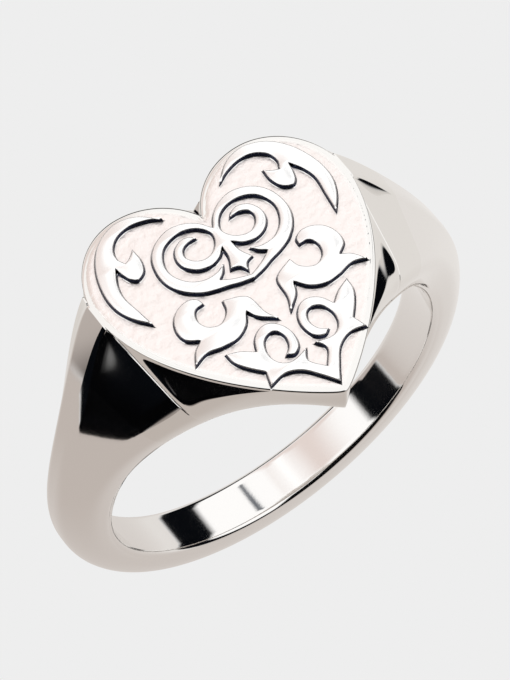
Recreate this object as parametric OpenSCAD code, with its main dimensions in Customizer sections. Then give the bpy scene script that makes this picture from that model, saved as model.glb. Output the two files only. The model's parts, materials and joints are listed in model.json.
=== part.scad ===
// Signet ring with a heart-shaped face and raised scrollwork.
// The origin is the middle of the finger hole, whose axis is Y. +Z points up through the
// face, the tip of the heart points to -Y and the two lobes to +Y. All sizes are millimetres.

/* [Band] */
// Inner diameter of the band, which is the ring size
bore_d = 17; // [15:0.5:21]
// Width of the band's inner side at the palm
band_w = 2.4; // [1.8:0.1:4]
// Thickness of the band at the palm
band_t = 2.1; // [1.6:0.1:2.8]

/* [Heart face] */
// Width of the heart across its two lobes
heart_w = 12.3; // [10:0.1:15]
// Height of the lobes above the heart's widest line
lobe_h = 3.4; // [2.6:0.1:4.2]
// Length of the heart below its widest line, down to the tip
tail_l = 8.75; // [7:0.05:10.5]
// Depth of the cleft between the lobes
cleft_d = 1.9; // [1.2:0.1:2.4]
// Metal between the finger hole and the middle of the face
face_t = 2.2; // [1.6:0.1:3]
// Height of the upright edge around the face
edge_h = 0.2; // [0.1:0.05:0.6]

/* [Scrollwork] */
// Height of the scrollwork above the face
relief_h = 0.22; // [0.1:0.02:0.6]

/* [Hidden] */

silver = [0.86, 0.86, 0.85];
bright_silver = [0.95, 0.95, 0.94];

bore_r = bore_d / 2;
face_z = bore_r + face_t;
half_w = heart_w / 2;
// The band is thickest at the palm, and this much thinner at its sides
palm_more = 0.3;
palm_fade = 46;
band_r = bore_r + band_t - palm_more;

// The heart's widest line lies this far towards the lobes from the middle of the finger hole
wide_y = 1.95;
// The scrollwork is drafted on a heart of this half width, lobe height and tail length
draft_w = 6.15;
draft_lobe = 3.4;
draft_tail = 8.75;

// Angle of the heart's widest corner from the top, and of the solder joint between head and shank
corner_a = atan(half_w / face_z);
joint_a = corner_a + 11;

// Share of the band's width that lies on the tip's side of the axis
band_share = 0.56;
// How far the hole's two edges reach beyond the band's half width at the top of the ring
front_reach = 4.75;
front_fade = 25.5;
front_power = 1.1;
back_reach = 2.5;
back_fade = 42;
back_power = 2.8;
// How the shoulders sink from the corner of the heart to the band: a steep part, then a long one
steep_share = 0.36;
steep_fade = 11;
shoulder_fade = 47;
shoulder_power = 1.67;
// The crown along the shoulder: its middle moves to the band's middle while its half width shrinks
ridge_fade = 18.9;
ridge_power = 1.55;
crown_w = 0.74;
crown_min = 0.1;
crown_fade = 38;
// The walls: straight with a slight bulge under the heart, a D section along the band, both rounded at the foot
wall_straight = 0.72;
facet_bulge = 0.5;
facet_fade = 40;
facet_power = 1.28;
foot_w = 0.56;
foot_h = 0.6;
foot_fade = 25;
band_foot_w = 0.08;
band_foot_h = 0.35;
rim_rise = 0.05;

side_steps = 8;
heart_steps = 12;
joint_steps = 3;
shank_steps = 37;
// The blanks reach this far into the hole before it is bored
bore_stock = 0.7;
curve_steps = 4;

// ---- outline of the heart: y of its lower and upper edge at the distance x from the axis ----

// The tail is a curve that falls from the widest corner to a slightly rounded tip
tail_power = 1.05;
tail_root = 1.92;
tip_round = 0.2;
function tail_y(x) =
    wide_y - tail_l * pow(max(0, 1 - pow(norm([x, tip_round]) / half_w, tail_power)), 1 / tail_root);

// Each lobe is two quarter ellipses that meet at its top, the inner one cut off by the cleft
lobe_x = half_w * 0.496;
lobe_inner = lobe_x / sqrt(1 - pow(1 - cleft_d / lobe_h, 2));
lobe_outer = half_w - lobe_x;
function lobe_y(x) = let (reach = x < lobe_x ? lobe_inner : lobe_outer)
    wide_y + lobe_h * sqrt(max(0, 1 - pow((x - lobe_x) / reach, 2)));

// ---- cross sections of the ring at the angle a from the top ----

function fade(a, reach, power) = exp(-pow(max(0, a) / reach, power));
function past(a) = a - corner_a;
function front_rim(a) = band_w * band_share + front_reach * fade(a, front_fade, front_power);
function back_rim(a) = band_w * (1 - band_share) + back_reach * fade(a, back_fade, back_power);
function swell(a) = steep_share * fade(past(a), steep_fade, 1)
    + (1 - steep_share) * fade(past(a), shoulder_fade, shoulder_power);
function crown_r(a) =
    band_r + (face_z / cos(corner_a) - band_r) * swell(a) + palm_more * fade(180 - a, palm_fade, 2);
function ridge_y(a) = wide_y * fade(past(a), ridge_fade, ridge_power);
function half_crown(a) = crown_min + (crown_w - crown_min) * fade(past(a), crown_fade, 1.5);

function mix(p, q, t) = p + (q - p) * t;

function bezier(p, t) = mix(mix(mix(p[0], p[1], t), mix(p[1], p[2], t), t),
                            mix(mix(p[1], p[2], t), mix(p[2], p[3], t), t), t);

// One side wall, as [y, r] points from the face's or the crown's edge y down to the hole's edge. It runs
// straight at the head, and turns into the rounded crown of a D section along the band.
function side_wall(a, r, y, rim, side) =
    let (foot = fade(past(a), foot_fade, 2),
         w = mix(band_foot_w, foot_w, foot),
         top = [y, r - edge_h * fade(past(a), 12, 1)],
         corner = [side * (rim + w), bore_r + mix(band_foot_h, foot_h, foot)],
         straight = mix(top, corner, wall_straight) + [0, facet_bulge * foot],
         crown = [side * 0.9 * (rim + w), r - 0.1 * (r - bore_r)],
         shoulder = mix(crown, straight, fade(past(a), facet_fade, facet_power)),
         end = [side * rim, bore_r + rim_rise])
    [for (i = [0:side_steps - 1]) bezier([top, shoulder, corner, end], i / (side_steps - 1))];

// A whole closed section of [y, r] points at angle a, with its outer edges at low and high
function section(a, r, low, high) =
    let (front = side_wall(a, r, low, front_rim(a), -1),
         back = side_wall(a, r, high, back_rim(a), 1),
         stock = bore_r - bore_stock)
    concat([[low, r], [high, r]], back, [[back_rim(a), stock], [-front_rim(a), stock]], [for (i = [len(front) - 1:-1:0]) front[i]]);

function heart_section(x) = let (a = atan(x / face_z))
    section(a, face_z / cos(a), min(tail_y(x), wide_y - crown_w), max(lobe_y(x), wide_y + crown_w));
function band_section(a) =
    section(a, crown_r(a), ridge_y(a) - half_crown(a), ridge_y(a) + half_crown(a));

function place(points, turn) = [for (p = points) [p[1] * sin(turn), p[0], p[1] * cos(turn)]];

// A closed solid through rings of equally many points
module loft(rings) {
    count = len(rings[0]);
    last = len(rings) - 1;
    function at(i, j) = i * count + j % count;
    sides = [for (i = [0:last - 1], j = [0:count - 1]) each
        [[at(i, j), at(i + 1, j), at(i + 1, j + 1)], [at(i, j), at(i + 1, j + 1), at(i, j + 1)]]];
    caps = [[for (j = [count - 1:-1:0]) at(last, j)], [for (j = [0:count - 1]) at(0, j)]];
    polyhedron([for (ring = rings) each ring], concat(sides, caps));
}

module bore() {
    rotate([90, 0, 0]) cylinder(h = 4 * heart_w, d = bore_d, center = true, $fn = 120);
}

// ---- scrollwork: outlines made of smooth runs that meet at corners ----

// A smooth curve through the points of one run, leaving out its last point
function knot(p, i) = i < 0 ? 2 * p[0] - p[1] : i >= len(p) ? 2 * p[len(p) - 1] - p[len(p) - 2] : p[i];
function spline(a, b, c, d, t) =
    0.5 * (2 * b + (c - a) * t + (2 * a - 5 * b + 4 * c - d) * t * t + (3 * b - a - 3 * c + d) * t * t * t);
function run(p) = [for (i = [0:len(p) - 2], k = [0:curve_steps - 1])
    spline(knot(p, i - 1), p[i], p[i + 1], knot(p, i + 2), k / curve_steps)];
function outline(runs) = [for (p = runs) each run(p)];

// A drafted point on the face: it follows the heart's width, lobes and tail
function on_face(p) = [p[0] * half_w / draft_w,
    wide_y + (p[1] - wide_y) * (p[1] > wide_y ? lobe_h / draft_lobe : tail_l / draft_tail)];
function flip(points) = [for (i = [len(points) - 1:-1:0]) [-points[i][0], points[i][1]]];

module drawn(points) {
    polygon([for (p = points) on_face(p)]);
}

// A whole figure from its right half, which starts and ends on the axis
module both_halves(runs, last) {
    right = concat(outline(runs), [last]);
    drawn(concat(right, [for (p = flip(right)) if (abs(p[0]) > 0) p]));
}

module raised() {
    translate([0, 0, face_z]) linear_extrude(relief_h) children();
}

// Long crescent inside the lobe's edge, with a hook curling back from its middle
flourish_runs = [
    [[1.4, 4.1], [2.05, 4.42], [2.75, 4.58], [3.4, 4.46], [3.85, 4.08], [3.97, 3.62], [3.82, 3.25]],
    [[3.82, 3.25], [3.5, 3.4], [3.22, 3.62]],
    [[3.22, 3.62], [3.21, 3], [3.42, 2.48], [3.82, 2.27], [4.08, 2.45], [4.22, 2.8], [4.3, 3.2]],
    [[4.3, 3.2], [4.62, 2.6], [4.75, 1.95], [4.62, 1.05], [4.5, 0.2]],
    [[4.5, 0.2], [5.02, 0.85], [5.33, 1.55], [5.38, 2.3], [5.22, 3.1], [4.9, 3.85], [4.4, 4.5], [3.75, 4.92],
     [3, 5.07], [2.2, 4.82], [1.4, 4.1]]];

// Outer edge of the heart scroll, from its lowest point to the cleft between its lobes
scroll_outer = [[[0, -0.42], [0.55, -0.3], [1.05, -0.13], [1.6, 0.02], [2.15, 0.25], [2.7, 0.72], [3.04, 1.35],
    [3.09, 2.05], [2.86, 2.78], [2.35, 3.3], [1.6, 3.56], [0.9, 3.43], [0.35, 3.05], [0, 2.55]]];
// The opening inside it: below the stem, round the thorn, up the lobe and in along the volute
scroll_inner = [
    [[0, -0.18], [0.4, -0.04], [0.8, 0.13], [1.15, 0.34]],
    [[1.15, 0.34], [0.85, 0.57], [0.65, 0.88]],
    [[0.65, 0.88], [1.15, 0.7], [1.75, 0.74], [2.28, 1.08], [2.6, 1.65], [2.6, 2.22], [2.28, 2.78], [1.75, 3.06],
     [1.15, 3.1], [0.6, 2.87], [0.24, 2.4], [0.3, 1.98], [0.62, 1.64], [1.08, 1.51], [1.48, 1.68], [1.69, 2.02],
     [1.6, 2.34], [1.28, 2.51], [0.82, 2.52]],
    [[0.82, 2.52], [1.05, 2.76], [1.45, 2.82], [1.88, 2.58], [2.1, 2.1], [2.02, 1.62], [1.65, 1.22], [1.12, 1.07],
     [0.6, 1.2], [0.24, 1.52]],
    [[0.24, 1.52], [0.3, 1], [0.55, 0.48]],
    [[0.55, 0.48], [0.2, 0.36], [0, 0.02]]];

// C-shaped curl, with a spike to the heart's edge and a tail to the axis
leaf_runs = [
    [[2.34, -0.2], [2.42, 0.12], [2.78, 0.33], [3.3, 0.25], [3.75, -0.1], [3.97, -0.65], [3.88, -1.18], [3.44, -1.52]],
    [[3.44, -1.52], [3.85, -1.8], [4.22, -2.36]],
    [[4.22, -2.36], [3.55, -2.16], [2.85, -2.3], [2.15, -2.32], [1.55, -2.02], [1.16, -1.5]],
    [[1.16, -1.5], [0.92, -2], [0.28, -2.52]],
    [[0.28, -2.52], [0.55, -1.9], [0.64, -1.1], [0.95, -0.76], [1.65, -0.5]],
    [[1.65, -0.5], [1.82, -1.02], [2.32, -1.34], [2.82, -1.14], [2.98, -0.66], [2.78, -0.26], [2.34, -0.2]]];

// Volute and three-pointed leaf beside the axis; the two halves meet at the tip of the heart
base_runs = [
    [[0, -6.3], [0.45, -5.62], [0.95, -5], [1.6, -4.72], [2.34, -4.86]],
    [[2.34, -4.86], [2.14, -4.22]],
    [[2.14, -4.22], [2.62, -3.66], [2.92, -3.14], [2.98, -2.6]],
    [[2.98, -2.6], [2.4, -2.84], [1.9, -3.22]],
    [[1.9, -3.22], [1.64, -2.72], [1.2, -2.42], [0.74, -2.46], [0.36, -2.86], [0.22, -3.4], [0.36, -3.98],
     [0.74, -4.22], [1.05, -4.06]],
    [[1.05, -4.06], [0.72, -3.78], [0.6, -3.34], [0.76, -2.96], [1.08, -2.88], [1.42, -3.1], [1.59, -3.62],
     [1.44, -4.14], [0.98, -4.4], [0.2, -4.24]],
    [[0.2, -4.24], [0.45, -4.76], [0, -5.4]]];

// ---- the pieces ----

// The band and the lower part of both shoulders, open at the top where the head sits
module shank() {
    color(silver) difference() {
        loft([for (i = [0:shank_steps])
            let (turn = joint_a + (360 - 2 * joint_a) * i / shank_steps)
            place(band_section(min(turn, 360 - turn)), turn)]);
        bore();
    }
}

// The heart-shaped head with the roots of the shoulders
module head() {
    right = concat(
        [for (i = [0:heart_steps]) let (x = half_w * sin(90 * i / heart_steps)) [atan(x / face_z), heart_section(x)]],
        [for (i = [1:joint_steps]) let (a = corner_a + (joint_a - corner_a) * i / joint_steps) [a, band_section(a)]]);
    color(silver) difference() {
        loft(concat([for (i = [len(right) - 1:-1:1]) place(right[i][1], -right[i][0])],
                    [for (s = right) place(s[1], s[0])]));
        bore();
    }
}

module flourish_right() {
    color(bright_silver) raised() drawn(outline(flourish_runs));
}

module flourish_left() {
    mirror([1, 0, 0]) flourish_right();
}

module heart_scroll() {
    color(bright_silver) raised() difference() {
        both_halves(scroll_outer, [0, 2.55]);
        both_halves(scroll_inner, [0, 0.02]);
    }
}

module leaf_scroll_right() {
    color(bright_silver) raised() drawn(outline(leaf_runs));
}

module leaf_scroll_left() {
    mirror([1, 0, 0]) leaf_scroll_right();
}

module base_scroll() {
    color(bright_silver) raised() both_halves(base_runs, [0, -5.4]);
}

shank();
head();
flourish_right();
flourish_left();
heart_scroll();
leaf_scroll_right();
leaf_scroll_left();
base_scroll();
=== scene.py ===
"""A heart signet ring in polished silver, with raised scrollwork on a matted face.

The ring is drafted in millimetres in the frame's own axes: the finger hole runs along Y, +Z goes up
through the face and the tip of the heart points to -Y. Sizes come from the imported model, and only the
last step turns millimetres into metres.
"""
import json
import math

import bpy
import numpy as np
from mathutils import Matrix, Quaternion, Vector
from mathutils.geometry import tessellate_polygon


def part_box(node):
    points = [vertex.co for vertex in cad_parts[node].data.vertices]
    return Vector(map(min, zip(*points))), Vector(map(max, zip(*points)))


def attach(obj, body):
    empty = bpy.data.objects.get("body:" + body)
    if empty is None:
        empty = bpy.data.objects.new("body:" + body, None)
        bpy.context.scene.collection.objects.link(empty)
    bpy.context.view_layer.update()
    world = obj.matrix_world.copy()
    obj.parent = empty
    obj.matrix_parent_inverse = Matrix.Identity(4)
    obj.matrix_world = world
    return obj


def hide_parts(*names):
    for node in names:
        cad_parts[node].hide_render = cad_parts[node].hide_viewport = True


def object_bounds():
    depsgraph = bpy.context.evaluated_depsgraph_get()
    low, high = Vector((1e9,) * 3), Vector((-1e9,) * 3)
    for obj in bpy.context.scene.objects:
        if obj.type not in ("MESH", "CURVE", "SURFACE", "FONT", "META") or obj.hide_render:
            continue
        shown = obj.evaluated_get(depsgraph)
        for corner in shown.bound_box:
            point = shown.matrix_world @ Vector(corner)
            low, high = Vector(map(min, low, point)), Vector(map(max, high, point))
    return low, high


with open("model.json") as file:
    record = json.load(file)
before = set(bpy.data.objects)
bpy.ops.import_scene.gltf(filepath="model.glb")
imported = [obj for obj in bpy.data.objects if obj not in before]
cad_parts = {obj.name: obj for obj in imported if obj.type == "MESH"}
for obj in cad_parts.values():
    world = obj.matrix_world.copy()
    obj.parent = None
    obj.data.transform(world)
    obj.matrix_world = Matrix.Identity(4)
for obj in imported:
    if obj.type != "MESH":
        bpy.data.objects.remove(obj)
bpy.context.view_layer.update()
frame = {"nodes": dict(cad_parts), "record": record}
MM = 0.001


# ---------------------------------------------------------------- sizes taken from the frame

def node_points(name):
    """The corner points of a CAD node, in millimetres."""
    return np.array([v.co for v in frame["nodes"][name].data.vertices]) / MM


head_low, head_high = (np.array(c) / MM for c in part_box("head"))
bore_r = next(m["dims"]["r_mm"] for m in frame["record"]["mounts"] if m["name"] == "finger_bore")
face_z = head_high[2]
relief_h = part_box("heart_scroll")[1].z / MM - face_z
head_points = node_points("head")
half_w = np.abs(head_points[np.abs(head_points[:, 2] - face_z) < 1e-3, 0]).max()

# ---------------------------------------------------------------- shape of the ring, in mm and degrees

WIDE_Y = 1.95                       # the heart's widest line, towards the lobes from the axis
CLEFT_D = 1.9                       # depth of the cleft between the lobes
TAIL_POWER, TAIL_ROOT = 1.05, 1.92  # bend of the heart's lower edge
TIP_ROUND = 0.2                     # softening of the heart's tip
LOBE_SHARE = 0.496                  # how far out each lobe's top lies
# The hole's two edges: half width at the palm, and what the head adds, with how that fades round the ring
FRONT_W, BACK_W = 1.344, 1.056
FRONT_REACH, FRONT_FADE, FRONT_POWER = 4.75, 25.5, 1.1
BACK_REACH, BACK_FADE, BACK_POWER = 2.5, 42, 2.8
STEEP_SHARE, STEEP_FADE = 0.36, 11  # the shoulder drops off quickly beside the face
SHOULDER_FADE, SHOULDER_POWER = 47, 1.67
# The crown along the shoulder: its middle moves onto the band while its half width shrinks
RIDGE_FADE, RIDGE_POWER = 18.9, 1.55
CROWN_W, CROWN_MIN, CROWN_FADE, CROWN_POWER = 0.74, 0.1, 38, 1.5
# The walls: how the head's section fades into the band's, and the fall of the facet for each millimetre
# outwards under the heart and on the shoulder, or inwards where the heart overhangs
FACET_FADE, FACET_POWER = 40, 1.28
HEART_SLOPE, SHOULDER_SLOPE, SLOPE_FADE = 0.45, 0.3, 3.5
UNDERCUT = 1.5
FACET_BEND = 0.15                   # softness of the turn from that slope to the upright foot
FOOT_W, FOOT_H, FOOT_FADE = 0.56, 0.6, 25
BAND_FOOT_W, BAND_FOOT_H = 0.08, 0.35
BEVEL_W, BEVEL_H, BEVEL_FADE = 0.22, 0.1, 12   # polished bevel round the face
BEVEL_TURN, BEVEL_SAG, EDGE_DROP = 0.12, 0.02, 0.05   # where the bevel turns down, and its least depth
RIM_ROUND = 0.26                    # rounding of the hole's two edges
PALM_MORE, PALM_FADE = 0.3, 46      # extra thickness at the palm
JOINT_PAST = 11                     # the solder joint lies this far past the heart's corner

# How finely the skin is drawn
HEART_STEPS, JOINT_STEPS, BAND_STEPS = 110, 16, 130
SPAN_STEPS, RIM_STEPS, FLOOR_STEPS = 8, 5, 12
EDGE_SHARE, EDGE_STEPS, MIDDLE_STEPS = 0.12, 13, 40

corner_a = math.degrees(math.atan(half_w / face_z))
joint_a = corner_a + JOINT_PAST
band_r = -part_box("shank")[0].z / MM - PALM_MORE
lobe_h = head_high[1] - WIDE_Y
tail_l = (WIDE_Y - head_low[1]) / (1 - (TIP_ROUND / half_w) ** TAIL_POWER) ** (1 / TAIL_ROOT)


def fade(a, reach, power):
    """Falls from 1 at zero like a bell: e to the minus (a over reach) to the power."""
    return np.exp(-(np.maximum(a, 0) / reach) ** power)


def tail_y(x):
    """Lower outline of the heart: it falls from the widest corner to the tip as a power of the width left."""
    share = np.hypot(x, TIP_ROUND) / half_w
    return WIDE_Y - tail_l * np.maximum(0, 1 - share ** TAIL_POWER) ** (1 / TAIL_ROOT)


def lobe_y(x):
    """Upper outline: two quarter ellipses that meet at the lobe's top, the inner one cut by the cleft."""
    top_x = half_w * LOBE_SHARE
    inner = top_x / math.sqrt(1 - (1 - CLEFT_D / lobe_h) ** 2)
    reach = np.where(x < top_x, inner, half_w - top_x)
    return WIDE_Y + lobe_h * np.sqrt(np.maximum(0, 1 - ((x - top_x) / reach) ** 2))


def mix(p, q, t):
    return p + (q - p) * t


def pair(y, r):
    """Stacks y and r arrays into (columns, 2) points of a cross section."""
    return np.stack(np.broadcast_arrays(y, r), axis=-1).astype(float)


def bspline(controls, per_span):
    """Quadratic B-spline that starts at the first control, ends at the last and rounds the others.

    controls is (count, columns, 2). Each span is a parabola between the middles of two legs.
    """
    middles = (controls[1:-2] + controls[2:-1]) / 2
    starts = np.concatenate([controls[:1], middles])
    ends = np.concatenate([middles, controls[-1:]])
    t = np.arange(per_span)[:, None, None] / per_span
    spans = [s * (1 - t) ** 2 + 2 * c * t * (1 - t) + e * t * t
             for s, c, e in zip(starts, controls[1:-1], ends)]
    return np.concatenate(spans + [controls[-1:]])


def side_wall(a, r, edge_y, rim, side):
    """One side of the cross section, from the face or crown down to the hole's edge.

    At the head it is a bevel, a facet that falls by a set slope, and an upright rounded foot, so a wall with
    little room outwards is mostly foot. Along the band the same controls move out to a D section, whose
    places are shares of its half width and thickness. Returns (points, columns, 2).
    """
    past = a - corner_a
    head_share = fade(past, FACET_FADE, FACET_POWER)[:, None]
    foot_share = fade(past, FOOT_FADE, 2)
    foot_w, foot_h = mix(BAND_FOOT_W, FOOT_W, foot_share), mix(BAND_FOOT_H, FOOT_H, foot_share)
    thick, wide, foot_r = r - bore_r, rim + foot_w, bore_r + foot_h
    drop = BEVEL_H * fade(past, BEVEL_FADE, 1) + EDGE_DROP
    out = side * edge_y - wide
    slope = HEART_SLOPE + (SHOULDER_SLOPE - HEART_SLOPE) * fade(corner_a - a, SLOPE_FADE, 2)
    above = r - drop - foot_r - slope * np.maximum(-out, 0) - UNDERCUT * np.maximum(out, 0)
    above = FACET_BEND * np.log1p(np.exp(np.clip(above / FACET_BEND, -30, 30)))
    end, below = pair(side * wide, foot_r), pair(edge_y, r - drop)
    turn_in = pair(side * wide, foot_r + np.minimum(above, r - drop - foot_r))
    head = [pair(edge_y - side * BEVEL_W, r), pair(edge_y - side * BEVEL_TURN * BEVEL_W, r - BEVEL_SAG),
            below, mix(below, turn_in, 0.5), turn_in, end,
            pair(side * (rim + 0.3 * foot_w), bore_r + 0.5 * foot_h), pair(side * rim, bore_r + RIM_ROUND)]
    band = [pair(edge_y, r), pair(mix(edge_y, side * 0.66 * wide, 0.4), r),
            pair(side * 0.66 * wide, r - 0.13 * thick),
            pair(side * 0.88 * wide, r - 0.33 * thick), pair(side * 0.99 * wide, bore_r + 0.42 * thick),
            pair(side * wide, bore_r + 0.28 * thick), pair(side * (rim + 0.6 * foot_w), bore_r + 0.18 * thick),
            pair(side * rim, bore_r + RIM_ROUND)]
    return bspline(np.stack([mix(b, h, head_share) for b, h in zip(band, head)]), SPAN_STEPS)


def rim_arc(rim, side):
    """Quarter circle that rounds one edge of the hole, from the wall's foot into the bore."""
    return np.stack([pair(side * (rim - RIM_ROUND * (1 - math.cos(t))), bore_r + RIM_ROUND * (1 - math.sin(t)))
                     for t in np.linspace(0, math.pi / 2, RIM_STEPS)[1:]])


def section(a, r, low, high, plateau):
    """The whole closed cross section for each column, as (points, columns, 2) of y and r."""
    front_rim = FRONT_W + FRONT_REACH * fade(a, FRONT_FADE, FRONT_POWER)
    back_rim = BACK_W + BACK_REACH * fade(a, BACK_FADE, BACK_POWER)
    front = side_wall(a, r, low, front_rim, -1)
    back = side_wall(a, r, high, back_rim, 1)
    top = np.stack([mix(front[0], back[0], t) for t in plateau])
    back_arc, front_arc = rim_arc(back_rim, 1), rim_arc(front_rim, -1)
    floor = np.stack([mix(back_arc[-1], front_arc[-1], t) for t in np.linspace(0, 1, FLOOR_STEPS)[1:-1]])
    return np.concatenate([top, back[1:], back_arc, floor, front_arc[::-1], front[:0:-1]])


# ---------------------------------------------------------------- meshes

def make_piece(name, points, faces, nodes, materials, sharp_degrees=None, normals=None):
    """Puts points in mm and faces into a mesh object that rides on the ring and stands for CAD nodes."""
    mesh = bpy.data.meshes.new(name)
    mesh.from_pydata((np.asarray(points) * MM).tolist(), [], faces)
    mesh.polygons.foreach_set("use_smooth", [True] * len(mesh.polygons))
    if sharp_degrees is not None:
        mesh.set_sharp_from_angle(angle=math.radians(sharp_degrees))
    if normals is not None:
        mesh.normals_split_custom_set(normals.tolist())
    for material in materials:
        mesh.materials.append(material)
    piece = bpy.data.objects.new(name, mesh)
    bpy.context.scene.collection.objects.link(piece)
    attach(piece, "root")
    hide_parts(*nodes)
    return piece


def ring_columns():
    """Turn angle, edge radius and edge y of every cross section, from the top round to the top again."""
    x = half_w * np.sin(np.linspace(0, math.pi / 2, HEART_STEPS))
    a_face = np.degrees(np.arctan(x / face_z))
    r_face = face_z / np.cos(np.radians(a_face))
    low_face = np.minimum(tail_y(x), WIDE_Y - CROWN_W)
    high_face = np.maximum(lobe_y(x), WIDE_Y + CROWN_W)
    a_joint = np.linspace(corner_a, joint_a, JOINT_STEPS)[1:]
    a_band = np.linspace(joint_a, 180, BAND_STEPS)[1:]
    a = np.concatenate([a_joint, a_band])
    past = a - corner_a
    swell = mix(fade(past, SHOULDER_FADE, SHOULDER_POWER), fade(past, STEEP_FADE, 1), STEEP_SHARE)
    r = band_r + (r_face[-1] - band_r) * swell + PALM_MORE * fade(180 - a, PALM_FADE, 2)
    middle = WIDE_Y * fade(past, RIDGE_FADE, RIDGE_POWER)
    half = CROWN_MIN + (CROWN_W - CROWN_MIN) * fade(past, CROWN_FADE, CROWN_POWER)
    parts = (a_face, a), (r_face, r), (low_face, middle - half), (high_face, middle + half)
    right = [np.concatenate(p) for p in parts]
    whole = [np.concatenate([p, p[-2:0:-1]]) for p in right]
    turn = np.concatenate([right[0], 360 - right[0][-2:0:-1]])
    return turn, whole, len(x) + len(a_joint)


def grid_normals(grid):
    """Unit normals of a closed (rows, columns, 3) grid, from the cross product of its two tangents."""
    along = np.roll(grid, -1, 1) - np.roll(grid, 1, 1)
    across = np.roll(grid, -1, 0) - np.roll(grid, 1, 0)
    n = np.cross(along, across)
    return n / np.linalg.norm(n, axis=-1, keepdims=True)


turn, (col_a, col_r, col_low, col_high), joint_column = ring_columns()
edge_steps = np.linspace(0, EDGE_SHARE, EDGE_STEPS)
middle_steps = np.linspace(EDGE_SHARE, 1 - EDGE_SHARE, MIDDLE_STEPS)[1:-1]
PLATEAU = np.concatenate([edge_steps, middle_steps, 1 - edge_steps[::-1]])
SECTION = section(col_a, col_r, col_low, col_high, PLATEAU)
rad = np.radians(turn)
GRID = np.stack([SECTION[..., 1] * np.sin(rad), SECTION[..., 0], SECTION[..., 1] * np.cos(rad)], axis=-1)
NORMALS = grid_normals(GRID)
if NORMALS[len(PLATEAU) // 2, 0, 2] < 0:   # the middle of the face looks up
    NORMALS = -NORMALS


def ring_piece(name, columns, nodes, materials):
    """The skin between two joints: a slice of the ring's grid, closed by a flat cap at each end."""
    rows, count = GRID.shape[0], len(columns)
    points = GRID[:, columns].reshape(-1, 3)
    normals = NORMALS[:, columns].reshape(-1, 3)
    i, j = np.meshgrid(np.arange(rows), np.arange(count - 1), indexing="ij")
    k = (i + 1) % rows
    quads = np.stack([i * count + j, k * count + j, k * count + j + 1, i * count + j + 1], axis=-1)
    quads = quads.reshape(-1, 4)
    first, last = np.arange(rows) * count, np.arange(rows) * count + count - 1
    p0, p1, p2 = (points[quads[0, m]] for m in range(3))
    if np.dot(np.cross(p1 - p0, p2 - p0), normals[quads[0, 0]]) < 0:
        quads = quads[:, ::-1]
        first, last = first[::-1], last[::-1]
    caps = [first[::-1].tolist(), last.tolist()]
    cap_loops = [np.repeat(cap_normal(points[c])[None], rows, 0) for c in caps]
    loops = np.concatenate([normals[quads.ravel()]] + cap_loops)
    return make_piece(name, points, quads.tolist() + caps, nodes, materials, normals=loops)


def cap_normal(points):
    """Unit normal of a flat loop, from the sum of its edge cross products."""
    n = np.cross(points, np.roll(points, -1, 0)).sum(0)
    return n / np.linalg.norm(n)


# ---------------------------------------------------------------- scrollwork outlines

def smooth_run(points, steps=9):
    """Catmull-Rom curve through a run's points, leaving out its last point."""
    p = np.array(points, float)
    p = np.vstack([2 * p[0] - p[1], p, 2 * p[-1] - p[-2]])
    t = (np.arange(steps) / steps)[None, :, None]
    a, b, c, d = (p[i:len(p) - 3 + i, None] for i in range(4))
    curve = 0.5 * (2 * b + (c - a) * t + (2 * a - 5 * b + 4 * c - d) * t ** 2 + (3 * b - a - 3 * c + d) * t ** 3)
    return curve.reshape(-1, 2)


def outline(runs):
    """Smooth runs that meet at sharp corners, as one closed loop that turns counter-clockwise."""
    loop = np.concatenate([smooth_run(r) for r in runs])
    area = np.sum(loop[:, 0] * np.roll(loop[:, 1], -1) - loop[:, 1] * np.roll(loop[:, 0], -1))
    return loop if area > 0 else loop[::-1]


def both_halves(runs):
    """The runs of a right half that starts and ends on the axis, followed by their mirror image."""
    flipped = [[(-x, y) for x, y in run[::-1]] for run in runs[::-1]]
    return list(runs) + flipped


def mirrored(loop):
    """The loop's mirror image across x = 0, still counter-clockwise."""
    return (loop * [-1, 1])[::-1]


# Drafted in mm on the face, right half first: crescent with a hook, heart scroll with its opening,
# leaf curl with a spike, and the volute and leaf that meet at the tip
FLOURISH = [
    [(1.4, 4.1), (2.05, 4.42), (2.75, 4.58), (3.4, 4.46), (3.85, 4.08), (3.97, 3.62), (3.82, 3.25)],
    [(3.82, 3.25), (3.5, 3.4), (3.22, 3.62)],
    [(3.22, 3.62), (3.21, 3), (3.42, 2.48), (3.82, 2.27), (4.08, 2.45), (4.22, 2.8), (4.3, 3.2)],
    [(4.3, 3.2), (4.62, 2.6), (4.75, 1.95), (4.62, 1.05), (4.5, 0.2)],
    [(4.5, 0.2), (5.02, 0.85), (5.33, 1.55), (5.38, 2.3), (5.22, 3.1), (4.9, 3.85), (4.4, 4.5), (3.75, 4.92),
     (3, 5.07), (2.2, 4.82), (1.4, 4.1)]]
SCROLL_OUTER = [[(0, -0.42), (0.55, -0.3), (1.05, -0.13), (1.6, 0.02), (2.15, 0.25), (2.7, 0.72), (3.04, 1.35),
                 (3.09, 2.05), (2.86, 2.78), (2.35, 3.3), (1.6, 3.56), (0.9, 3.43), (0.35, 3.05), (0, 2.55)]]
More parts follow.
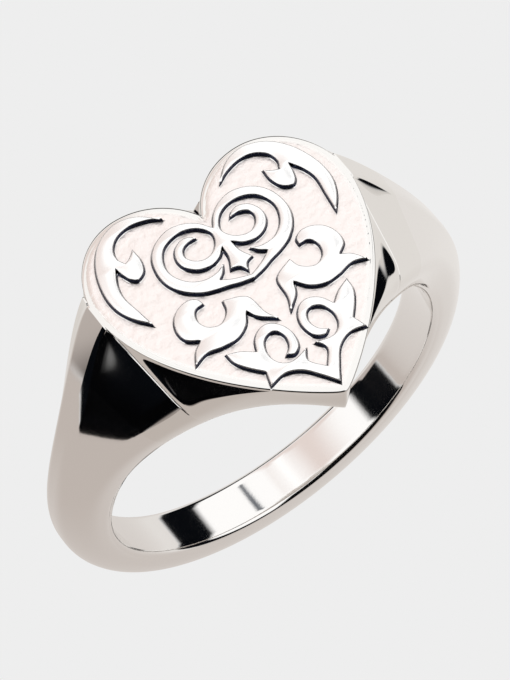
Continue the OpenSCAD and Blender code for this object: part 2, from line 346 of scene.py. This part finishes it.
SCROLL_INNER = [
    [(0, -0.18), (0.4, -0.04), (0.8, 0.13), (1.15, 0.34)],
    [(1.15, 0.34), (0.85, 0.57), (0.65, 0.88)],
    [(0.65, 0.88), (1.15, 0.7), (1.75, 0.74), (2.28, 1.08), (2.6, 1.65), (2.6, 2.22), (2.28, 2.78), (1.75, 3.06),
     (1.15, 3.1), (0.6, 2.87), (0.24, 2.4), (0.3, 1.98), (0.62, 1.64), (1.08, 1.51), (1.48, 1.68), (1.69, 2.02),
     (1.6, 2.34), (1.28, 2.51), (0.82, 2.52)],
    [(0.82, 2.52), (1.05, 2.76), (1.45, 2.82), (1.88, 2.58), (2.1, 2.1), (2.02, 1.62), (1.65, 1.22), (1.12, 1.07),
     (0.6, 1.2), (0.24, 1.52)],
    [(0.24, 1.52), (0.3, 1), (0.55, 0.48)],
    [(0.55, 0.48), (0.2, 0.36), (0, 0.02)]]
LEAF = [
    [(2.34, -0.2), (2.42, 0.12), (2.78, 0.33), (3.3, 0.25), (3.75, -0.1), (3.97, -0.65), (3.88, -1.18),
     (3.44, -1.52)],
    [(3.44, -1.52), (3.85, -1.8), (4.22, -2.36)],
    [(4.22, -2.36), (3.55, -2.16), (2.85, -2.3), (2.15, -2.32), (1.55, -2.02), (1.16, -1.5)],
    [(1.16, -1.5), (0.92, -2), (0.28, -2.52)],
    [(0.28, -2.52), (0.55, -1.9), (0.64, -1.1), (0.95, -0.76), (1.65, -0.5)],
    [(1.65, -0.5), (1.82, -1.02), (2.32, -1.34), (2.82, -1.14), (2.98, -0.66), (2.78, -0.26), (2.34, -0.2)]]
BASE = [
    [(0, -6.3), (0.45, -5.62), (0.95, -5), (1.6, -4.72), (2.34, -4.86)],
    [(2.34, -4.86), (2.14, -4.22)],
    [(2.14, -4.22), (2.62, -3.66), (2.92, -3.14), (2.98, -2.6)],
    [(2.98, -2.6), (2.4, -2.84), (1.9, -3.22)],
    [(1.9, -3.22), (1.64, -2.72), (1.2, -2.42), (0.74, -2.46), (0.36, -2.86), (0.22, -3.4), (0.36, -3.98),
     (0.74, -4.22), (1.05, -4.06)],
    [(1.05, -4.06), (0.72, -3.78), (0.6, -3.34), (0.76, -2.96), (1.08, -2.88), (1.42, -3.1), (1.59, -3.62),
     (1.44, -4.14), (0.98, -4.4), (0.2, -4.24)],
    [(0.2, -4.24), (0.45, -4.76), (0, -5.4)]]

# Profile of a raised edge: how far the wall stands outside the outline in mm, and its share of the height
EDGE_PROFILE = [(0.05, 0.0), (0.02, 0.08), (0.0, 0.25), (-0.01, 0.6), (-0.02, 0.84), (-0.04, 0.96), (-0.07, 1.0)]
MITRE_LIMIT = 0.45                  # keeps the offset at a sharp corner from running away
WALL_TILT = 0.6                     # a face whose normal rises less than this is wall, not top
FIGURE_SHARP = 40                   # degrees past which an edge stays sharp


def outward(loop):
    """Outward direction at each point of a counter-clockwise loop, lengthened at corners to keep the offset."""
    e = np.roll(loop, -1, 0) - loop
    n = np.stack([e[:, 1], -e[:, 0]], 1) / np.linalg.norm(e, axis=1, keepdims=True)
    m = n + np.roll(n, 1, 0)
    m /= np.maximum(np.linalg.norm(m, axis=1, keepdims=True), 1e-9)
    return m / np.maximum(np.sum(m * n, axis=1, keepdims=True), MITRE_LIMIT)


def raised_figure(name, node, loop, hole, materials):
    """A figure raised from the face: the edge profile carried along each outline, with flat top and bottom."""
    points, faces, tops, bottoms, start = [], [], [], [], 0
    for ring, sign in [(loop, 1)] + ([(hole, -1)] if hole is not None else []):
        count = len(ring)
        away = outward(ring) * sign
        for offset, share in EDGE_PROFILE:
            points.append(np.column_stack([ring + away * offset, np.full(count, face_z + relief_h * share)]))
        i, j = np.meshgrid(np.arange(len(EDGE_PROFILE) - 1), np.arange(count), indexing="ij")
        k = (j + 1) % count
        quads = start + np.stack([i * count + j, i * count + k, (i + 1) * count + k, (i + 1) * count + j], -1)
        quads = quads.reshape(-1, 4)
        faces += (quads if sign > 0 else quads[:, ::-1]).tolist()
        bottoms.append(np.arange(start, start + count))
        start += count * len(EDGE_PROFILE)
        tops.append(np.arange(start - count, start))
    points = np.concatenate(points)
    for rings, up in ((tops, True), (bottoms, False)):
        index = np.concatenate(rings)
        flat = [[Vector((*points[v, :2], 0)) for v in r] for r in rings]
        for tri in tessellate_polygon(flat):
            a, b, c = (index[t] for t in tri)
            area = np.cross(points[b, :2] - points[a, :2], points[c, :2] - points[a, :2])
            faces.append([a, b, c] if (area > 0) == up else [a, c, b])
    faces = [[int(v) for v in f] for f in faces]
    piece = make_piece(name, points, faces, [node], materials, sharp_degrees=FIGURE_SHARP)
    rise = np.zeros(len(faces) * 3)
    piece.data.polygons.foreach_get("normal", rise)
    # Faces that stand up take the second material: the walls, painted dark as painted shade and painted
    # reflection
    piece.data.polygons.foreach_set("material_index", (np.abs(rise[2::3]) < WALL_TILT).astype(np.int32))
    return piece


# ---------------------------------------------------------------- materials

def linear(hex_colour):
    """Turns an sRGB hex colour into linear RGBA."""
    c = np.array([int(hex_colour[i:i + 2], 16) / 255 for i in (1, 3, 5)])
    c = np.where(c <= 0.04045, c / 12.92, ((c + 0.055) / 1.055) ** 2.4)
    return (*c.tolist(), 1.0)


def add(tree, kind, links=(), **settings):
    """Adds a shader node, sets its properties and inputs, and links (from socket, to input) pairs."""
    node = tree.nodes.new(kind)
    for key, value in settings.items():
        if key in node.inputs:
            node.inputs[key].default_value = value
        else:
            setattr(node, key, value)
    for socket, name in links:
        tree.links.new(socket, node.inputs[name])
    return node


def metal(name, colour, roughness):
    """An empty metal material: its tree and its Principled shader."""
    m = bpy.data.materials.new(name)
    m.use_nodes = True
    shader = m.node_tree.nodes["Principled BSDF"]
    shader.inputs["Base Color"].default_value = linear(colour)
    shader.inputs["Metallic"].default_value = 1.0
    shader.inputs["Roughness"].default_value = roughness
    m.diffuse_color = linear(colour)
    return m, m.node_tree, shader


def polished_silver(name="polished silver", colour="#EFEDEB", roughness=0.07, waviness=0.08):
    """Sterling silver, buffed to a mirror: fine buffing lines and a faint waviness left by the wheel.

    One wave is about 4 mm long. The buffing lines are drawn 0.1 mm apart, coarser than real ones.
    """
    m, tree, shader = metal(name, colour, roughness)
    place = add(tree, "ShaderNodeTexCoord")
    wave = add(tree, "ShaderNodeTexNoise", [(place.outputs["Object"], "Vector")], Scale=260.0, Detail=1.0)
    fine = add(tree, "ShaderNodeTexNoise", [(place.outputs["Object"], "Vector")], Scale=9000.0, Detail=2.0)
    height = add(tree, "ShaderNodeMath", [(fine.outputs["Fac"], 0)], operation="MULTIPLY_ADD")
    height.inputs[1].default_value = 0.03
    tree.links.new(wave.outputs["Fac"], height.inputs[2])
    bump = add(tree, "ShaderNodeBump", [(height.outputs["Value"], "Height")],
               Strength=waviness, Distance=0.0002)
    tree.links.new(bump.outputs["Normal"], shader.inputs["Normal"])
    return m


FLOOR_COLOUR = "#EEEEEE"

silver = polished_silver()
# Tops rubbed with a burnisher: bright, and softer than a mirror
scroll = polished_silver("burnished scroll silver", "#F9F8F7", 0.2, waviness=0.0)
# Walls of the relief: silver painted dark navy, as painted shade in the cuts and a painted reflection of the
# black front, so the outlines stand out
painted_dark_wall = polished_silver("wall silver with painted shade", "#2B3044", 0.25)
MARGIN_COLOUR, GROUND_COLOUR = "#ECEAE7", "#FBF4F1"
MARGIN_ROUGHNESS, GROUND_ROUGHNESS = 0.05, 0.42


def matted_face(name="matted face silver"):
    """Silver matted with a fine punch inside a burnished margin; the attribute ground is 0 on polished metal.

    The punch marks are about 0.4 mm apart, with finer grain inside them.
    """
    m, tree, shader = metal(name, MARGIN_COLOUR, MARGIN_ROUGHNESS)
    place = add(tree, "ShaderNodeTexCoord")
    ground = add(tree, "ShaderNodeAttribute", attribute_name="ground")
    grain = add(tree, "ShaderNodeTexNoise", [(place.outputs["Object"], "Vector")], Scale=2600.0, Detail=4.0)
    rough = add(tree, "ShaderNodeMapRange", [(ground.outputs["Fac"], "Value")])
    rough.inputs["To Min"].default_value = MARGIN_ROUGHNESS
    rough.inputs["To Max"].default_value = GROUND_ROUGHNESS
    tree.links.new(rough.outputs["Result"], shader.inputs["Roughness"])
    tint = add(tree, "ShaderNodeMix", [(ground.outputs["Fac"], "Factor")], data_type="RGBA")
    tint.inputs["A"].default_value = linear(MARGIN_COLOUR)
    tint.inputs["B"].default_value = linear(GROUND_COLOUR)
    tree.links.new(tint.outputs["Result"], shader.inputs["Base Color"])
    depth = add(tree, "ShaderNodeMath", [(grain.outputs["Fac"], 0), (ground.outputs["Fac"], 1)],
                operation="MULTIPLY")
    bump = add(tree, "ShaderNodeBump", [(depth.outputs["Value"], "Height")], Strength=0.9, Distance=0.00006)
    tree.links.new(bump.outputs["Normal"], shader.inputs["Normal"])
    return m


face_silver = matted_face()


# ---------------------------------------------------------------- the pieces

count = len(turn)
shank_columns = np.arange(joint_column - 1, count - joint_column + 2)
ring_piece("shank_skin", shank_columns, ["shank"], [silver])
head_columns = np.concatenate([np.arange(count - joint_column + 1, count), np.arange(joint_column)])
head = ring_piece("head_skin", head_columns, ["head"], [face_silver])


def mark_ground(piece, margin=0.25, blend=0.16):
    """Writes how far inside the heart's edge each face point lies, as 0 on the margin and 1 on the ground."""
    co = np.array([v.co for v in piece.data.vertices]) / MM
    x = half_w * np.sin(np.linspace(-math.pi / 2, math.pi / 2, 400))
    edge = np.concatenate([np.column_stack([x, tail_y(np.abs(x))]), np.column_stack([x, lobe_y(np.abs(x))])])
    flat = np.abs(co[:, 2] - face_z) < 1e-3
    away = np.zeros(len(co))
    away[flat] = np.sqrt(((co[flat, None, :2] - edge[None]) ** 2).sum(-1)).min(1)
    value = np.clip((away - margin) / blend, 0, 1)
    layer = piece.data.attributes.new("ground", "FLOAT", "POINT")
    layer.data.foreach_set("value", value.astype(np.float32))


mark_ground(head)
flourish, leaf = outline(FLOURISH), outline(LEAF)
scroll_ring, scroll_hole = outline(both_halves(SCROLL_OUTER)), outline(both_halves(SCROLL_INNER))
for piece_name, node, loop, hole in (
        ("flourish_right_relief", "flourish_right", flourish, None),
        ("flourish_left_relief", "flourish_left", mirrored(flourish), None),
        ("heart_scroll_relief", "heart_scroll", scroll_ring, scroll_hole),
        ("leaf_scroll_right_relief", "leaf_scroll_right", leaf, None),
        ("leaf_scroll_left_relief", "leaf_scroll_left", mirrored(leaf), None),
        ("base_scroll_relief", "base_scroll", outline(both_halves(BASE)), None)):
    raised_figure(piece_name, node, loop, hole, [scroll, painted_dark_wall])


# ---------------------------------------------------------------- studio

def emitter(name, colour, strength):
    """A plain glowing material for a stage piece."""
    m = bpy.data.materials.new(name)
    m.use_nodes = True
    m.node_tree.nodes.clear()
    light = add(m.node_tree, "ShaderNodeEmission", Color=linear(colour), Strength=strength)
    add(m.node_tree, "ShaderNodeOutputMaterial", [(light.outputs["Emission"], "Surface")])
    return m


def stage_mesh(name, points, faces, material, seen=True):
    """A piece of the studio. When seen is false the camera looks through it, and only reflections show it."""
    mesh = bpy.data.meshes.new(name)
    mesh.from_pydata([tuple(c * MM for c in p) for p in points], [], faces)
    mesh.materials.append(material)
    thing = bpy.data.objects.new(name, mesh)
    bpy.context.scene.collection.objects.link(thing)
    thing.visible_camera = seen
    if not seen:
        thing.visible_diffuse = False
        thing.visible_shadow = False
    return thing


def square(half, z):
    """Points and face of a level square about the axis, in mm."""
    return [(-half, -half, z), (half, -half, z), (half, half, z), (-half, half, z)], [(0, 1, 2, 3)]


def table_card(half, z):
    """The table as the metal sees it, a glowing card with painted light and shade: warm grey at the left front,
    near white at the right and the back.
    """
    m = bpy.data.materials.new("grey table card")
    m.use_nodes = True
    tree = m.node_tree
    tree.nodes.clear()
    place = add(tree, "ShaderNodeTexCoord")
    split = add(tree, "ShaderNodeSeparateXYZ", [(place.outputs["Object"], "Vector")])
    slant = add(tree, "ShaderNodeMath", [(split.outputs["Y"], 0), (split.outputs["X"], 1)], operation="ADD")
    spread = add(tree, "ShaderNodeMapRange", [(slant.outputs["Value"], "Value")],
                 interpolation_type="SMOOTHSTEP")
    spread.inputs["From Min"].default_value, spread.inputs["From Max"].default_value = -0.03, 0.03
    # Painted light and shade: darker warm grey at the left front, brighter towards the right and the back
    table_painted_light = add(tree, "ShaderNodeMix", [(spread.outputs["Result"], "Factor")], data_type="RGBA")
    table_painted_light.inputs["A"].default_value, table_painted_light.inputs["B"].default_value = linear("#CAC1BB"), linear("#EFECE9")
    glow = add(tree, "ShaderNodeEmission", [(table_painted_light.outputs["Result"], "Color")])
    add(tree, "ShaderNodeOutputMaterial", [(glow.outputs["Emission"], "Surface")])
    return stage_mesh("grey table card", *square(half, z), m, seen=False)


def soft_patch(name, az, el, radius, colour, strength, soft=2.0):
    """A card on a sphere round the ring, between two azimuths and two elevations, with feathered edges.

    A point lies at the radius times (cos el cos az, cos el sin az, sin el). The feather rises smoothly from
    0 at the edge to 1 at soft degrees inside it.
    """
    across, up = 48, 32
    u, v = np.meshgrid(np.linspace(0, 1, across), np.linspace(0, 1, up))
    a, e = np.radians(mix(az[0], az[1], u)), np.radians(mix(el[0], el[1], v))
    points = radius * np.stack([np.cos(e) * np.cos(a), np.cos(e) * np.sin(a), np.sin(e)], -1).reshape(-1, 3)
    i, j = np.meshgrid(np.arange(up - 1), np.arange(across - 1), indexing="ij")
    first = i * across + j
    faces = np.stack([first, first + 1, first + across + 1, first + across], -1).reshape(-1, 4).tolist()
    m = bpy.data.materials.new(name)
    m.use_nodes = True
    tree = m.node_tree
    tree.nodes.clear()
    edge = add(tree, "ShaderNodeAttribute", attribute_name="feather")
    glow = add(tree, "ShaderNodeEmission", Color=linear(colour), Strength=strength)
    clear = add(tree, "ShaderNodeBsdfTransparent")
    both = add(tree, "ShaderNodeMixShader", [(edge.outputs["Fac"], 0), (clear.outputs["BSDF"], 1),
                                             (glow.outputs["Emission"], 2)])
    add(tree, "ShaderNodeOutputMaterial", [(both.outputs["Shader"], "Surface")])
    thing = stage_mesh(name, points, faces, m, seen=False)
    whole_turn = az[1] - az[0] >= 360
    side_gap = np.full_like(u, 360) if whole_turn else np.minimum(u, 1 - u) * (az[1] - az[0]) * np.cos(e)
    up_gap = np.where(el[1] >= 90, v, np.minimum(v, 1 - v)) * (el[1] - el[0])
    feather = np.clip(np.minimum(side_gap, up_gap) / soft, 0, 1)
    feather = feather * feather * (3 - 2 * feather)
    layer = thing.data.attributes.new("feather", "FLOAT", "POINT")
    layer.data.foreach_set("value", feather.ravel().astype(np.float32))
    return thing


FLOOR_HALF, CARD_HALF = 4000, 400
FLOOR_GAP, CARD_GAP = 0.12, 0.06     # below the ring, so that nothing touches

floor_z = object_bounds()[0].z / MM
stage_mesh("floor", *square(FLOOR_HALF, floor_z - FLOOR_GAP), emitter("pale floor", FLOOR_COLOUR, 1.0))
table_card(CARD_HALF, floor_z - CARD_GAP)
# What the mirror faces pick up, by direction: 0 degrees is the ring's right, 90 its back and -90 its front
soft_patch("dark room", (0, 360), (-1.5, 90), 460, "#07090D", 1.0, soft=2.5)
soft_patch("overhead softbox", (0, 360), (24, 90), 420, "#FFFFFF", 1.15, soft=4)
soft_patch("black flag in front", (-176, -70), (4, 70), 340, "#030304", 1.0, soft=5)
soft_patch("far edge of the table, left", (-156, -95), (-16, 7), 330, "#9C938E", 1.0, soft=7)
soft_patch("black flag low at the left", (-184, -151), (-40, 9), 320, "#030304", 1.0, soft=5)
soft_patch("grey board behind, left", (90, 154.6), (-4, 14), 330, "#C4BBB6", 1.0, soft=1.2)
soft_patch("pale board at the right", (-62, 6), (-3, 1), 330, "#DDD9D5", 1.0, soft=2)
soft_patch("rose panel", (62, 152), (30, 70), 380, "#F0E3DE", 1.0, soft=10)
soft_patch("lamp in the rose panel", (78, 108), (58, 76), 360, "#FFFFFF", 1.2, soft=6)
soft_patch("gap between softboxes", (38, 46), (53, 60), 370, "#39424F", 1.0, soft=2)

world = bpy.data.worlds.new("studio")
world.use_nodes = True
world.node_tree.nodes["Background"].inputs["Color"].default_value = linear(FLOOR_COLOUR)
bpy.context.scene.world = world

bpy.context.scene.view_settings.view_transform = "Standard"

# Long lens above the front of the ring, a little to its left, turned slightly about its own axis
CAMERA_PLACE = Vector((-30.454, -49.590, 108.245)) * MM
CAMERA_AIM = Vector((1.209, 1.874, 1.229)) * MM
CAMERA_ROLL = 4.13
camera_data = bpy.data.cameras.new("camera")
camera_data.lens, camera_data.sensor_width = 149.13, 36
camera_data.clip_start, camera_data.clip_end = 0.01, 20
camera = bpy.data.objects.new("camera", camera_data)
camera.rotation_mode = "QUATERNION"
camera.location = CAMERA_PLACE
look = (CAMERA_AIM - CAMERA_PLACE).to_track_quat("-Z", "Y")
camera.rotation_quaternion = look @ Quaternion((0, 0, 1), math.radians(-CAMERA_ROLL))
bpy.context.scene.collection.objects.link(camera)
bpy.context.scene.camera = camera
